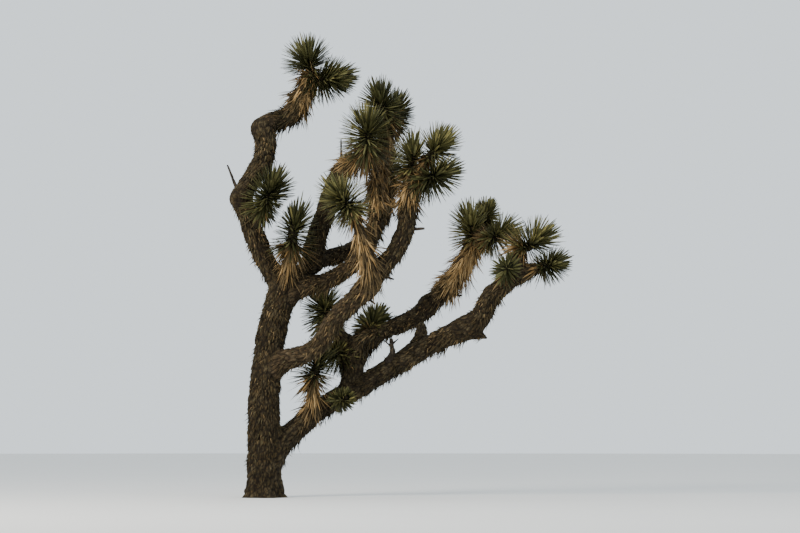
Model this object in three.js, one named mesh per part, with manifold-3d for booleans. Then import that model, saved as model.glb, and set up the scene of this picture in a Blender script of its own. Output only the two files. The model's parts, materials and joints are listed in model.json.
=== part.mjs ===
// A Joshua tree seven metres tall: a leaning trunk, a second low stem, bare kinked boughs, and
// rosettes of dagger leaves at their tips. Millimetres and degrees, +Z up. The origin is the middle
// of the trunk's foot, +X is to the right and +Y is away from the viewer.
import * as THREE from "three";
import { mergeVertices } from "three/addons/utils/BufferGeometryUtils.js";
import Module from "manifold-3d";

const wasm = await Module();
wasm.setup();

// Clear space between neighbouring pieces, and between a leaf and anything but its own core
const GAP = 0.35;
const LEAF_CLEARANCE = 3;

// Limb surfaces: sides round, the longest step along, and the rings that round off a tip
const LIMB_SIDES = 8;
const SNAG_SIDES = 5;
const SNAG_TAPER = 0.8;
const STEP_LENGTH = 330;
const DOME_ANGLES = [50];

// A limb is swollen just outside its parent, most at this distance from the parent's centre line
const COLLAR_SHARE = 0.14;
const COLLAR_PLACE = 170;

// The trunk's foot: how far the root flare stands out, how fast it dies away, and its lobes
const FLARE = 95;
const FLARE_HEIGHT = 270;
const FLARE_LOBES = 5;
const LOBE_SHARE = 0.3;

// The trunk's bark: staggered rows and columns of broad plates, over swells that wind round it
const PLATE_ROWS = 30;
const PLATE_COLUMNS = 12;
const PLATE_RISE = 12;
const SWELL_COLUMNS = 5;
const SWELL_LENGTH = 150;
const SWELL_RISE = 7;

// A rosette: a core of packed leaf bases with dagger leaves out of it. One solid leaf stands for a
// tuft of real ones, so it is wider than life. Shares are of the stem's length, leans from its axis.
// Live leaves fill no more than the last stretch of a long stem.
const CORE_SIDES = 6;
const CORE_RADIUS = 68;
const CORE_SWELL = 62;
const CORE_SWELL_POWER = 1.5;
const LEAF_REACH = 330;
const LEAF_WIDTH = 84;
const LEAF_THICKNESS = 24;
const LEAF_WAIST = 0.18;
const LIVE_LEAVES = 18;
const LIVE_FROM = 0.4;
const LIVE_STRETCH = 270;
const LIVE_LEANS = [112, 16];
const DEAD_LEAVES = 4;
const DEAD_FROM = 0.16;
const DEAD_LEANS = [150, 112];
const DEAD_SHARE = 0.86;
const LENGTH_JITTER = 0.1;
const GOLDEN_ANGLE = 137.5;
const SHORTENED = [1, 0.84, 0.7, 0.56];
const STEM_SAMPLES = 5;
const SEED = 41;

// A linear congruential generator's constants, for repeatable numbers
const MULTIPLIER = 1664525;
const INCREMENT = 1013904223;
const MODULUS = 2 ** 32;

const BARK = { color: 0x5b5040, roughness: 0.95, metalness: 0 };
const LEAVES = { color: 0x66693f, roughness: 0.75, metalness: 0 };

// Each limb leaves the centre line of its parent at a share of the parent's length. Girth is its
// radius at places evenly spaced from foot to tip. Its legs are [length, lean to the right of
// upright, swing away from the viewer]: such a limb grows straight until it blooms, then kinks or
// forks. Its snags are broken stubs, [share of its length, length, lean, swing, radius].
const LIMBS = {
  trunk: {
    at: 0, girth: [228, 238, 222, 212],
    legs: [[840, 0, 0], [770, 1, 0], [530, 6, 2], [510, 9, 3], [550, 15, 3]],
  },
  leader_foot: {
    parent: "trunk", at: 1, girth: [155, 158, 142],
    legs: [[370, -38, -8], [490, -24, -8], [380, -20, -9], [250, -22, -9]],
    snags: [[0.97, 590, -22, 8, 42]],
  },
  leader_waist: {
    parent: "leader_foot", at: 1, girth: [140, 160, 170],
    legs: [[300, 30, 15], [320, 31, 11], [280, 12, 8], [280, -8, 8]],
  },
  leader_neck: {
    parent: "leader_waist", at: 1, girth: [150, 168, 172, 122],
    legs: [[200, 48, 12], [230, 75, 10], [260, 40, 4], [490, 23, -3]],
  },
  fork_spur: {
    parent: "trunk", at: 1, girth: [130, 92],
    legs: [[330, 15, -41], [350, 10, -23]],
  },
  back_bough: {
    parent: "trunk", at: 0.95, girth: [145, 125],
    legs: [[470, 41, 18], [320, 44, 34], [370, 71, 36], [400, 72, 35]],
  },
  back_riser: {
    parent: "back_bough", at: 0.5, girth: [142, 150, 128, 105],
    legs: [[300, 7, -18], [430, 19, -11], [600, 18, -11], [270, 36, -21], [350, 68, -20]],
    snags: [[0.77, 480, -1, 12, 30]],
  },
  back_limb: {
    parent: "back_bough", at: 1, girth: [125, 105],
    legs: [[350, 52, 26], [320, 29, 18], [310, 24, 9], [330, 4, 0]],
  },
  front_bough: {
    parent: "trunk", at: 0.93, girth: [145, 120],
    legs: [[400, 61, -3], [370, 75, 5], [340, 59, 3], [350, 50, 8]],
  },
  middle_limb: {
    parent: "front_bough", at: 1, girth: [120, 108, 84],
    legs: [[350, 24, 8], [330, 8, 7], [350, 0, 10], [400, 7, 6], [540, 14, -6]],
  },
  right_bough: {
    parent: "trunk", at: 0.585, girth: [158, 138, 155],
    legs: [[330, 58, -23], [450, 71, -23], [270, 51, -22], [300, 29, -12], [320, 43, -11], [470, 46, -10]],
    snags: [[0.93, 270, 128, -12, 42]],
  },
  east_limb: {
    parent: "right_bough", at: 1, girth: [135, 140, 118],
    legs: [[350, 38, -10], [350, 37, 0], [280, 24, 4], [420, 8, 6], [350, 8, 4]],
    snags: [[0.13, 260, 108, -10, 36], [0.58, 290, 88, -8, 46]],
  },
  skirt_limb: {
    parent: "right_bough", at: 0.97, girth: [125, 160, 98],
    legs: [[240, 29, -34], [320, -13, -24], [430, -16, -9]],
  },
  low_stem: {
    parent: "trunk", at: 0.12, girth: [180, 145],
    legs: [[460, 31, 13], [360, 44, 20], [360, 48, 16], [380, 56, 12], [480, 61, 2]],
  },
  low_limb: {
    parent: "low_stem", at: 1, girth: [155, 150, 165],
    legs: [[460, 60, -8], [460, 61, -15], [500, 60, -19], [410, 66, -20]],
    snags: [[1, 350, 112, -8, 80]],
  },
  far_limb: {
    parent: "low_limb", at: 1, girth: [162, 160, 138, 92],
    legs: [[300, 55, -16], [220, 26, -16], [240, 37, -12], [410, 54, -13], [300, 70, -15]],
  },
  arch_spur: {
    parent: "far_limb", at: 0.84, girth: [100, 110, 90],
    legs: [[220, -14, 17], [170, 7, 15]],
  },
  riser: {
    parent: "low_stem", at: 0.93, girth: [150, 145],
    legs: [[400, -4, 20], [350, -10, 29]],
  },
  mid_bough: {
    parent: "riser", at: 0.55, girth: [172, 132, 145],
    legs: [[270, 21, 12], [330, 50, 29], [310, 64, 27], [280, 67, 16], [230, 63, 10], [280, 47, 4]],
  },
  tall_limb: {
    parent: "mid_bough", at: 1, girth: [145, 192, 190, 145],
    legs: [[290, 45, 4], [290, 40, 0], [290, 31, -4], [290, 26, -8]],
    snags: [[0.16, 350, 92, -14, 40]],
  },
  back_spur: {
    parent: "tall_limb", at: 0.94, girth: [95, 75],
    legs: [[330, 28, 46], [240, 30, 40]],
  },
  side_spur: {
    parent: "tall_limb", at: 0.96, girth: [100, 82],
    legs: [[250, 66, -20]],
  },
  left_spur: {
    parent: "riser", at: 1, girth: [125, 88],
    legs: [[230, -44, -10], [200, -48, -30]],
  },
  skirt_spur: {
    parent: "low_stem", at: 0.5, girth: [105, 80],
    legs: [[340, 24, -27], [270, -2, -9]],
  },
  east_spur: {
    parent: "east_limb", at: 0.95, girth: [95, 82],
    legs: [[190, 29, -13], [200, 32, 11]],
  },
  cross_stub: {
    parent: "low_limb", at: 0.42, girth: [98, 92],
    legs: [[480, 34, 27], [240, 9, 50]],
  },
  dead_stub: {
    parent: "low_limb", at: 0.21, girth: [60, 30],
    legs: [[350, 27, -29], [230, -3, -25]],
    snags: [[0.8, 150, -48, 20, 22], [0.88, 140, 50, -20, 22]],
  },
};

// Each rosette sits on a limb as a limb sits on its parent. Reach scales its leaves, and skirt is
// how many dead ones hang below the live ones.
const ROSETTES = {
  crown_rosette: { parent: "leader_neck", at: 1, legs: [[240, -13, -3]], reach: 1.12 },
  crown_side: { parent: "leader_neck", at: 0.97, legs: [[210, 105, -14], [220, 87, -16]] },
  elbow_rosette: { parent: "leader_foot", at: 0.62, legs: [[300, 24, -36], [550, 24, -22]] },
  fork_rosette: { parent: "fork_spur", at: 1, legs: [[440, 9, -6]], reach: 1.1, skirt: 10 },
  bow_rosette: {
    parent: "back_riser", at: 1, legs: [[230, 6, -23], [250, 2, -17]], reach: 1.2, skirt: 8,
  },
  top_rosette: { parent: "middle_limb", at: 1, legs: [[240, -12, -19], [270, -17, -17]] },
  top_side: { parent: "middle_limb", at: 1, legs: [[220, 12, 28], [200, 22, 21]], reach: 0.9 },
  shade_rosette: { parent: "back_limb", at: 1, legs: [[370, -4, 11]] },
  east_rosette: { parent: "east_limb", at: 1, legs: [[240, 5, -5], [210, 5, -5]] },
  east_high: { parent: "east_spur", at: 1, legs: [[400, 37, 9]] },
  east_side: { parent: "east_limb", at: 0.97, legs: [[240, 72, -23], [280, 70, -23]] },
  skirt_rosette: { parent: "skirt_limb", at: 1, legs: [[290, -24, -9], [320, -36, -9]] },
  tall_rosette: { parent: "tall_limb", at: 1, legs: [[350, -11, -10]] },
  tall_back: { parent: "back_spur", at: 1, legs: [[270, 10, 17]], reach: 0.6 },
  tall_side: { parent: "side_spur", at: 1, legs: [[140, 72, -13], [170, 66, -6]], reach: 0.9 },
  arch_rosette: { parent: "arch_spur", at: 1, legs: [[160, 68, 0], [190, 55, -9]], reach: 1.08 },
  far_rosette: { parent: "far_limb", at: 1, legs: [[310, 74, -15]], reach: 0.76 },
  far_front: { parent: "far_limb", at: 0.58, legs: [[340, 18, -43], [150, 34, -52]], reach: 0.7 },
  left_rosette: { parent: "left_spur", at: 1, legs: [[250, -14, -24], [150, -11, -16]] },
  nest_rosette: { parent: "mid_bough", at: 0.22, legs: [[450, 28, 40], [160, 33, 41]], reach: 0.75 },
  low_rosette: { parent: "skirt_spur", at: 1, legs: [[440, 14, -8]], skirt: 7 },
  shade_low: { parent: "riser", at: 0.62, legs: [[220, -58, -6], [180, -77, -31]], reach: 0.9 },
  stem_rosette: { parent: "low_stem", at: 0.76, legs: [[340, 83, -60], [110, 60, -61]], reach: 0.6 },
};

/** A unit vector that leans to the right of upright and swings away from the viewer. */
function heading(lean, swing) {
  const [a, b] = [lean, swing].map(THREE.MathUtils.degToRad);
  return new THREE.Vector3(Math.sin(a) * Math.cos(b), Math.sin(b), Math.cos(a) * Math.cos(b));
}

/** The smooth centre line of a limb or of a rosette's stem, out from its parent's centre line. */
function curveOf(name) {
  const { parent, at, legs } = LIMBS[name] ?? ROSETTES[name];
  const joints = [parent ? curveOf(parent).getPointAt(at) : new THREE.Vector3()];
  for (const [length, lean, swing] of legs) {
    joints.push(heading(lean, swing).multiplyScalar(length).add(joints.at(-1)));
  }
  return new THREE.CatmullRomCurve3(joints);
}

/** Repeatable numbers from 0 to 1. */
function randomFrom(seed) {
  let state = seed;
  return () => {
    state = (state * MULTIPLIER + INCREMENT) % MODULUS;
    return state / MODULUS;
  };
}

/** A closed three.js geometry as a solid. */
function solidOf(geometry) {
  geometry.deleteAttribute("normal");
  geometry.deleteAttribute("uv");
  const merged = mergeVertices(geometry);
  return new wasm.Manifold(new wasm.Mesh({
    numProp: 3,
    vertProperties: merged.attributes.position.array,
    triVerts: Uint32Array.from(merged.index.array),
  }));
}

/** The largest body of a solid, without loose scraps and with sealed hollows filled. */
function wholeOf(solid) {
  return solid.decompose().reduce((best, body) => (body.volume() > best.volume() ? body : best));
}

/** Whether two solids' boxes come nearer than a margin. */
function boxesMeet(a, b, margin) {
  const [p, q] = [a.boundingBox(), b.boundingBox()];
  return [0, 1, 2].every((k) => p.min[k] < q.max[k] + margin && q.min[k] < p.max[k] + margin);
}

/** How many rings a plain rod needs along a curve. */
function stepsAlong(curve) {
  return Math.max(2, Math.ceil(curve.getLength() / STEP_LENGTH));
}

/** Rings along a curve, and past its end round a dome: middle, directions across, and scale. */
function ringsAlong(curve, steps, tipRadius, growth) {
  const length = curve.getLength();
  const stations = [[-growth, 1]];
  for (let i = 1; i <= steps; i++) {
    stations.push([(i / steps) * length, 1]);
  }
  for (const angle of DOME_ANGLES.map(THREE.MathUtils.degToRad)) {
    stations.push([length + Math.sin(angle) * (tipRadius + growth), Math.cos(angle)]);
  }
  let along = curve.getTangentAt(0);
  let across = new THREE.Vector3(1, 0, 0).projectOnPlane(along).normalize();
  return stations.map(([distance, scale]) => {
    const share = THREE.MathUtils.clamp(distance / length, 0, 1);
    const tangent = curve.getTangentAt(share);
    across = across.clone().applyQuaternion(new THREE.Quaternion().setFromUnitVectors(along, tangent));
    along = tangent;
    const middle = curve.getPointAt(share).addScaledVector(tangent, distance - share * length);
    return { middle, across, up: across.clone().cross(tangent), scale, distance: share * length };
  });
}

/** A round body bent along a curve, with a radius for each distance along it and angle round it. */
function bentRod(curve, sides, radiusAt, growth = 0, steps = stepsAlong(curve)) {
  const rings = ringsAlong(curve, steps, radiusAt(curve.getLength(), 0), growth);
  const geometry = new THREE.CylinderGeometry(1, 1, rings.length - 1, sides, rings.length - 1);
  const position = geometry.attributes.position;
  const point = new THREE.Vector3();
  for (let i = 0; i < position.count; i++) {
    point.fromBufferAttribute(position, i);
    const ring = rings[Math.round(point.y + (rings.length - 1) / 2)];
    const radius = (radiusAt(ring.distance, Math.atan2(point.z, point.x)) + growth) * ring.scale;
    const [x, z] = [point.x * radius, point.z * radius];
    point.copy(ring.middle).addScaledVector(ring.across, x).addScaledVector(ring.up, z);
    position.setXYZ(i, ...point);
  }
  return solidOf(geometry);
}

/** A straight broken stub, from the limb's centre line out. */
function snag(curve, [at, length, lean, swing, radius], growth) {
  const foot = curve.getPointAt(at);
  const tip = heading(lean, swing).multiplyScalar(length).add(foot);
  const taper = (distance) => radius * (1 - SNAG_TAPER * (distance / length));
  return bentRod(new THREE.LineCurve3(foot, tip), SNAG_SIDES, taper, growth);
}

/** The radius at a share of a limb's length, between the places where its girth is given. */
function girthAt(girth, share) {
  const place = share * (girth.length - 1);
  const below = Math.min(Math.floor(place), girth.length - 2);
  return THREE.MathUtils.lerp(girth[below], girth[below + 1], place - below);
}

/** How far the trunk stands out of its girth: root flare, plates of bark and swells. */
function trunkRelief(distance, angle, length) {
  const lobes = 1 + LOBE_SHARE * Math.cos(FLARE_LOBES * angle);
  const flare = FLARE * Math.exp(-distance / FLARE_HEIGHT) * lobes;
  const plates = Math.cos(PLATE_COLUMNS * angle) * Math.cos((Math.PI * PLATE_ROWS * distance) / length);
  const swells = Math.cos(SWELL_COLUMNS * angle + distance / SWELL_LENGTH);
  return flare + PLATE_RISE * plates + SWELL_RISE * swells;
}

/** How many times its girth a limb's collar is. */
function collarScale(distance) {
  const place = distance / COLLAR_PLACE;
  return 1 + COLLAR_SHARE * place * Math.exp(1 - place);
}

/** The trunk or a limb, with its snags. Growth makes it that much thicker, to cut its neighbours. */
function limbSolid(name, growth = 0) {
  const { at, girth, snags = [] } = LIMBS[name];
  const curve = curveOf(name);
  const length = curve.getLength();
  const girthFrom = (distance) => girthAt(girth, distance / length);
  if (name === "trunk") {
    const barkAt = (distance, angle) => girthFrom(distance) + trunkRelief(distance, angle, length);
    return bentRod(curve, 2 * PLATE_COLUMNS, barkAt, growth, PLATE_ROWS);
  }
  const radiusAt = (distance) => girthFrom(distance) * (at < 1 ? collarScale(distance) : 1);
  const rod = bentRod(curve, LIMB_SIDES, radiusAt, growth);
  return snags.reduce((solid, spec) => solid.add(snag(curve, spec, growth)), rod);
}

/** A rosette's core, swollen in the middle. */
function coreSolid(name, growth = 0) {
  const curve = curveOf(name);
  const length = curve.getLength();
  const swellAt = (distance) => Math.sin(Math.PI * (distance / length) ** CORE_SWELL_POWER);
  return bentRod(curve, CORE_SIDES, (distance) => CORE_RADIUS + CORE_SWELL * swellAt(distance), growth);
}

/** A dagger leaf: a flat double pyramid, widest at its waist. */
function leafSolid({ root, along, side, length, width }) {
  const geometry = new THREE.OctahedronGeometry(1);
  const position = geometry.attributes.position;
  for (let i = 0; i < position.count; i++) {
    const y = position.getY(i);
    position.setY(i, y * (y > 0 ? 1 - LEAF_WAIST : LEAF_WAIST) + LEAF_WAIST);
  }
  geometry.scale(width / 2, length, LEAF_THICKNESS / 2);
  geometry.applyMatrix4(new THREE.Matrix4().makeBasis(side, along, side.clone().cross(along)));
  geometry.translate(...root);
  return solidOf(geometry);
}

/** Places for leaves in a golden spiral: the share of the stem and the lean go from low to high. */
function spiral(count, [low, high], [wide, narrow]) {
  const [wideCosine, narrowCosine] = [wide, narrow].map((a) => Math.cos(THREE.MathUtils.degToRad(a)));
  return Array.from({ length: count }, (_, i) => {
    const share = (i + 0.5) / count;
    return {
      at: THREE.MathUtils.lerp(low, high, share),
      lean: Math.acos(THREE.MathUtils.lerp(wideCosine, narrowCosine, share)),
      turn: THREE.MathUtils.degToRad(i * GOLDEN_ANGLE),
    };
  });
}

/** The leaves that a rosette would carry in the open, dead ones below and live ones above. */
function leavesOf(name, seed) {
  const { reach = 1, skirt = DEAD_LEAVES } = ROSETTES[name];
  const curve = curveOf(name);
  const random = randomFrom(seed);
  const liveFrom = Math.max(LIVE_FROM, 1 - LIVE_STRETCH / curve.getLength());
  const dead = spiral(skirt, [DEAD_FROM, liveFrom], DEAD_LEANS);
  const live = spiral(LIVE_LEAVES, [liveFrom, 1], LIVE_LEANS);
  return [...dead, ...live].map(({ at, lean, turn }, i) => {
    const axis = curve.getTangentAt(at);
    const across = new THREE.Vector3(1, 0, 0).projectOnPlane(axis).normalize().applyAxisAngle(axis, turn);
    const side = axis.clone().cross(across);
    const share = (i < skirt ? DEAD_SHARE : 1) * (1 + LENGTH_JITTER * (2 * random() - 1));
    return {
      root: curve.getPointAt(at),
      along: axis.applyAxisAngle(side, lean),
      side,
      length: LEAF_REACH * reach * share,
      width: LEAF_WIDTH * Math.sqrt(reach),
    };
  });
}

/** How near a point lies to a rosette's stem. */
function distanceToStem(name, point) {
  return Math.min(...curveOf(name).getSpacedPoints(STEM_SAMPLES).map((p) => p.distanceTo(point)));
}

/** Whether a leaf stays on its own side of the space that rosettes share, and clear of solids. */
function leafFits(leaf, solid, name, others) {
  const tip = leaf.along.clone().multiplyScalar(leaf.length).add(leaf.root);
  const own = distanceToStem(name, tip);
  return Object.keys(ROSETTES).every((rival) => rival === name || distanceToStem(rival, tip) > own)
    && others.every((other) => !boxesMeet(solid, other, LEAF_CLEARANCE)
      || solid.minGap(other, 2 * LEAF_CLEARANCE) > LEAF_CLEARANCE);
}

/** A core with every leaf that fits fused on, shortened where it has to be. */
function rosetteSolid(name, core, others, seed) {
  const solids = [core];
  for (const leaf of leavesOf(name, seed)) {
    const sizes = SHORTENED.map((share) => ({ ...leaf, length: leaf.length * share }));
    const fitting = sizes.find((size) => leafFits(size, leafSolid(size), name, others));
    if (fitting) {
      solids.push(leafSolid(fitting));
    }
  }
  return wholeOf(solids.reduce((joined, solid) => joined.add(solid)));
}

/** Makes each named piece in turn, cut clear of those before it. */
function cutInTurn(names, makeSolid, grownBefore) {
  const grown = [...grownBefore];
  return names.map((name) => {
    let solid = makeSolid(name);
    for (const neighbour of grown.filter((other) => boxesMeet(solid, other, 0))) {
      solid = solid.subtract(neighbour);
    }
    grown.push(makeSolid(name, GAP));
    return wholeOf(solid);
  });
}

/** A named mesh whose own origin is where the piece leaves its parent. */
function meshOf(name, solid, finish) {
  const { vertProperties, triVerts } = solid.getMesh();
  const geometry = new THREE.BufferGeometry();
  geometry.setAttribute("position", new THREE.BufferAttribute(Float32Array.from(vertProperties), 3));
  geometry.setIndex(new THREE.BufferAttribute(Uint32Array.from(triVerts), 1));
  const foot = curveOf(name).getPointAt(0);
  geometry.translate(...foot.clone().negate());
  geometry.computeVertexNormals();
  const mesh = new THREE.Mesh(geometry, new THREE.MeshStandardMaterial(finish));
  mesh.name = name;
  mesh.position.copy(foot);
  return mesh;
}

const limbNames = Object.keys(LIMBS);
const rosetteNames = Object.keys(ROSETTES);
const limbs = cutInTurn(limbNames, limbSolid, []);
limbs[0] = limbs[0].trimByPlane([0, 0, 1], 0);
const cores = cutInTurn(rosetteNames, coreSolid, limbNames.map((name) => limbSolid(name, GAP)));
const rosettes = [];
rosetteNames.forEach((name, i) => {
  const others = [...limbs, ...rosettes, ...cores.slice(i + 1)];
  rosettes.push(rosetteSolid(name, cores[i], others, SEED + i));
});

const tree = new THREE.Group();
limbs.forEach((solid, i) => tree.add(meshOf(limbNames[i], solid, BARK)));
rosettes.forEach((solid, i) => tree.add(meshOf(rosetteNames[i], solid, LEAVES)));

export default tree;
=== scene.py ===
"""A Joshua tree: a leaning trunk, a second low stem, kinked boughs under shaggy bark, and rosettes.

Metres and degrees, +Z up. The origin is the middle of the trunk's foot, +X is to the right and +Y is
away from the viewer. Each limb and rosette grows from the centre line of its parent.
"""

import json
import logging
import math
from dataclasses import dataclass, field
from enum import Enum

import bpy
import numpy as np
from mathutils import Euler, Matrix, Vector, noise

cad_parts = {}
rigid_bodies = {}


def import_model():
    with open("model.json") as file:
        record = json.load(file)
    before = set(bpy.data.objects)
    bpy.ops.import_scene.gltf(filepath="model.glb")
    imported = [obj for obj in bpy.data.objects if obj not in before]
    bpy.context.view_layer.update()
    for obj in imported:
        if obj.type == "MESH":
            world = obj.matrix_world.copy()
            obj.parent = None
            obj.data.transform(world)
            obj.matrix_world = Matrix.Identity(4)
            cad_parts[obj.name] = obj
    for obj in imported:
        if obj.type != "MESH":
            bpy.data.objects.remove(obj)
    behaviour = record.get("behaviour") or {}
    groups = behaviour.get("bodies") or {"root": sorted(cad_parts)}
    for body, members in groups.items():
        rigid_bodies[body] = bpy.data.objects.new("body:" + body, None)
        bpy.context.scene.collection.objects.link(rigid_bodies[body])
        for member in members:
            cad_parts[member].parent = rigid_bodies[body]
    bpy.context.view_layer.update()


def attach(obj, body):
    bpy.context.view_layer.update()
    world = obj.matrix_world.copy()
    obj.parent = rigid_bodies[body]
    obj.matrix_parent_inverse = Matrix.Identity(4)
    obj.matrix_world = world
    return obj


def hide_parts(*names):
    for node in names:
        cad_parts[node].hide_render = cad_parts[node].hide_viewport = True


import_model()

log = logging.getLogger("joshua_tree")

Color = tuple[float, float, float]
Spot = tuple[float, float, float]
Socket = bpy.types.NodeSocket
Tone = Color | Socket
Feed = float | Tone | Spot
Legs = tuple[tuple[float, float, float], ...]

BODY = "root"
UP = np.array([0.0, 0.0, 1.0])
GOLDEN_ANGLE = math.radians(137.5)
WANDER = 2
TINY = 1e-12
SEED = 41


def unit(vectors: np.ndarray) -> np.ndarray:
    """Scales vectors, one a row or a single one, to length one."""
    return vectors / np.maximum(np.linalg.norm(vectors, axis=-1, keepdims=True), TINY)


def heading(lean: float, swing: float) -> np.ndarray:
    """Gives the direction at a lean right of upright and a swing away from the viewer, in degrees."""
    a, b = math.radians(lean), math.radians(swing)
    return np.array([math.sin(a) * math.cos(b), math.sin(b), math.cos(a) * math.cos(b)])


def outward(along: np.ndarray, across: np.ndarray, angle: np.ndarray) -> np.ndarray:
    """Turns the directions across a line round it, each by its own angle in radians."""
    return across * np.cos(angle)[:, None] + np.cross(along, across) * np.sin(angle)[:, None]


def smooth(values: np.ndarray) -> np.ndarray:
    """Eases values from 0 to 1 with level ends, and clips them outside."""
    clipped = np.clip(values, 0, 1)
    return clipped * clipped * (3 - 2 * clipped)


def ripple(phase: np.ndarray, drift: np.ndarray) -> np.ndarray:
    """Gives waves from -1 to 1 whose spacing wanders with a second phase."""
    return np.sin(phase + WANDER * np.sin(drift))


def letter_sum(word: str) -> int:
    """Adds up a word's letters, so that each name has a number of its own."""
    return sum(map(ord, word))


@dataclass
class CentreLine:
    """A smooth line through joints, sampled evenly, with directions across it.

    Attributes:
        points: Places along the line, one a row.
        along: The line's direction at each place.
        across: A direction square to the line, carried along it without twist.
        length: The line's whole length.
    """

    points: np.ndarray
    along: np.ndarray
    across: np.ndarray
    length: float

    FINE = 40
    SAMPLES = 160

    @classmethod
    def through(cls, joints: np.ndarray) -> "CentreLine":
        """Draws a smooth curve through joints, with bends as wide as the joints' spacing allows.

        Args:
            joints: The points that the line passes through, one a row.

        Returns:
            The line from the first joint to the last.
        """
        first, last = 2 * joints[0] - joints[1], 2 * joints[-1] - joints[-2]
        knots = np.vstack([first, joints, last])
        share = np.linspace(0, 1, cls.FINE, endpoint=False)[:, None]
        runs = [cls._run(*knots[i : i + 4], share) for i in range(len(joints) - 1)]
        fine = np.vstack([*runs, joints[-1:]])
        walked = np.concatenate([[0], np.cumsum(np.linalg.norm(np.diff(fine, axis=0), axis=1))])
        even = np.linspace(0, walked[-1], cls.SAMPLES)
        points = np.stack([np.interp(even, walked, fine[:, k]) for k in range(3)], axis=1)
        along = unit(np.gradient(points, axis=0))
        across = [unit(np.array([1.0, 0, 0]) - along[0] * along[0][0])]
        for direction in along[1:]:
            across.append(unit(across[-1] - direction * (across[-1] @ direction)))
        return cls(points, along, np.array(across), float(walked[-1]))

    @staticmethod
    def _run(
        before: np.ndarray, start: np.ndarray, end: np.ndarray, after: np.ndarray, share: np.ndarray
    ) -> np.ndarray:
        """Draws the curve between two joints.

        Args:
            before: The joint before the stretch.
            start: The joint where the stretch starts.
            end: The joint where it ends.
            after: The joint after it.
            share: Shares of the stretch, as a column.

        Returns:
            One point for each share.
        """
        stretches = ((before, start), (start, end), (end, after))
        a, b, c = (math.sqrt(np.linalg.norm(q - p)) for p, q in stretches)
        out = ((start - before) / a - (end - before) / (a + b) + (end - start) / b) * b
        into = ((end - start) / b - (after - start) / (b + c) + (after - end) / c) * b
        square, cube = share**2, share**3
        return (
            (2 * cube - 3 * square + 1) * start
            + (cube - 2 * square + share) * out
            + (3 * square - 2 * cube) * end
            + (cube - square) * into
        )

    def at(self, distance: np.ndarray) -> tuple[np.ndarray, np.ndarray, np.ndarray]:
        """Reads the line at distances from its start, and straight on past its ends.

        Args:
            distance: How far along, one number a place.

        Returns:
            The points, the directions along and the directions across.
        """
        inside = np.clip(distance, 0, self.length)
        place = inside / self.length * (self.SAMPLES - 1)
        below = np.minimum(place.astype(int), self.SAMPLES - 2)
        rest = (place - below)[:, None]
        point, along, across = (
            rows[below] * (1 - rest) + rows[below + 1] * rest
            for rows in (self.points, self.along, self.across)
        )
        along = unit(along)
        return point + along * (distance - inside)[:, None], along, unit(across)

    def point(self, share: float) -> np.ndarray:
        """Gives the point at a share of the line's length."""
        return self.at(np.array([share * self.length]))[0][0]


@dataclass
class Shape:
    """Points and faces, gathered before they become one mesh.

    Attributes:
        points: Every point, one a row.
        quads: Faces of four points.
        triangles: Faces of three points.
        slots: The material slot of each face, quads first, where the shape has more than one.
        traits: Values that a material reads, by name, one a point.
    """

    points: np.ndarray
    quads: np.ndarray
    triangles: np.ndarray
    slots: np.ndarray | None = None
    traits: dict[str, np.ndarray] = field(default_factory=dict)

    @classmethod
    def merged(cls, shapes: list["Shape"]) -> "Shape":
        """Puts shapes of one material together.

        Args:
            shapes: The shapes, which have the same traits.

        Returns:
            All of them as one shape.
        """
        starts = np.cumsum([0, *(len(shape.points) for shape in shapes[:-1])])
        return cls(
            np.vstack([shape.points for shape in shapes]),
            np.vstack([shape.quads + start for shape, start in zip(shapes, starts)]),
            np.vstack([shape.triangles + start for shape, start in zip(shapes, starts)]),
            traits={key: np.concatenate([shape.traits[key] for shape in shapes]) for key in shapes[0].traits},
        )

    def piece(self, name: str, materials: list[bpy.types.Material], rounded: bool) -> bpy.types.Object:
        """Makes a Blender object of the shape.

        Args:
            name: The object's name.
            materials: One material for each slot number in use.
            rounded: Whether its faces are shaded smooth.

        Returns:
            The new object, linked to the scene.
        """
        mesh = bpy.data.meshes.new(name)
        mesh.vertices.add(len(self.points))
        mesh.vertices.foreach_set("co", self.points.astype(np.float32).ravel())
        corners = np.concatenate([self.quads.ravel(), self.triangles.ravel()]).astype(np.int32)
        mesh.loops.add(len(corners))
        mesh.loops.foreach_set("vertex_index", corners)
        counts = np.repeat([4, 3], [len(self.quads), len(self.triangles)])
        starts = np.concatenate([[0], np.cumsum(counts)[:-1]]).astype(np.int32)
        mesh.polygons.add(len(counts))
        mesh.polygons.foreach_set("loop_start", starts)
        mesh.polygons.foreach_set("use_smooth", np.full(len(counts), rounded))
        if self.slots is not None:
            mesh.polygons.foreach_set("material_index", self.slots.astype(np.int32))
        mesh.update(calc_edges=True)
        for trait, values in self.traits.items():
            kind, key = ("FLOAT", "value") if values.ndim == 1 else ("FLOAT_VECTOR", "vector")
            data = mesh.attributes.new(trait, kind, "POINT").data
            data.foreach_set(key, values.astype(np.float32).ravel())
        for material in materials:
            mesh.materials.append(material)
        piece = bpy.data.objects.new(name, mesh)
        bpy.context.collection.objects.link(piece)
        return piece


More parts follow.
